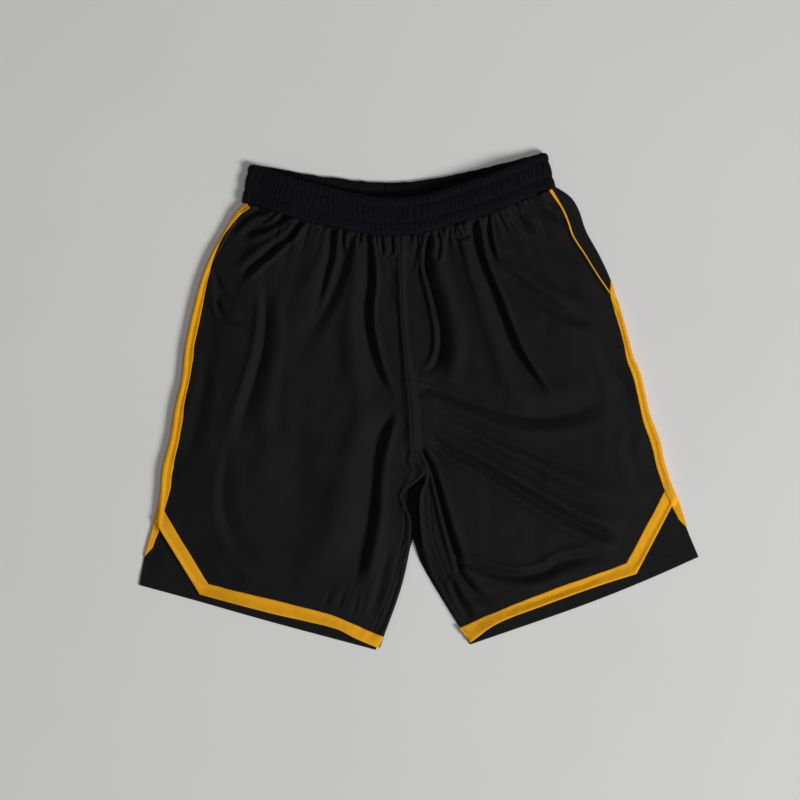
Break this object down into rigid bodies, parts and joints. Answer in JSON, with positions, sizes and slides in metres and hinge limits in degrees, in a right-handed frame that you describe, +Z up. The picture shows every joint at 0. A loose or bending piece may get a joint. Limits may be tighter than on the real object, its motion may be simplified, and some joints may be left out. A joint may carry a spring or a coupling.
{
  "type": "boxing shorts",
  "caption": "Knee-length elastic-waist athletic shorts lying flat, black knit with contrast tape on the side seams, vents and front hems.",
  "frame": {"origin": "on the surface that the garment lies on, under the middle of its bounding box", "axes": "+X towards the wearer's left side, +Y from the hems to the waist, +Z up, out of the front of the garment"},
  "size_m": [0.6262, 0.5572, 0.0221],
  "materials": {
    "black_knit": "matt fine polyester knit with a slight sheen",
    "black_lining": "matt thin lining knit",
    "elastic_webbing": "matt ribbed woven elastic",
    "black_thread": "satin spun thread",
    "label": "satin woven tape, blank",
    "yellow_tape": "satin twill tape"
  },
  "bodies": {
    "root": {"waistband_casing": "black_knit", "waist_elastic": "elastic_webbing", "waistband_tack_right": "black_thread", "waistband_tack_left": "black_thread", "waist_label": "label", "front_panel_right": "black_knit", "front_panel_left": "black_knit", "back_panel_right": "black_knit", "back_panel_left": "black_knit", "side_tape_right": "yellow_tape", "side_tape_left": "yellow_tape", "hem_tape_right": "yellow_tape", "hem_tape_left": "yellow_tape", "hem_tape_join_right": "black_thread", "hem_tape_join_left": "black_thread", "pocket_bag_right": "black_lining", "pocket_bag_left": "black_lining", "pocket_facing_right": "black_knit", "pocket_facing_left": "black_knit", "fly_bar_stitch": "black_thread"}
  },
  "joints": []
}
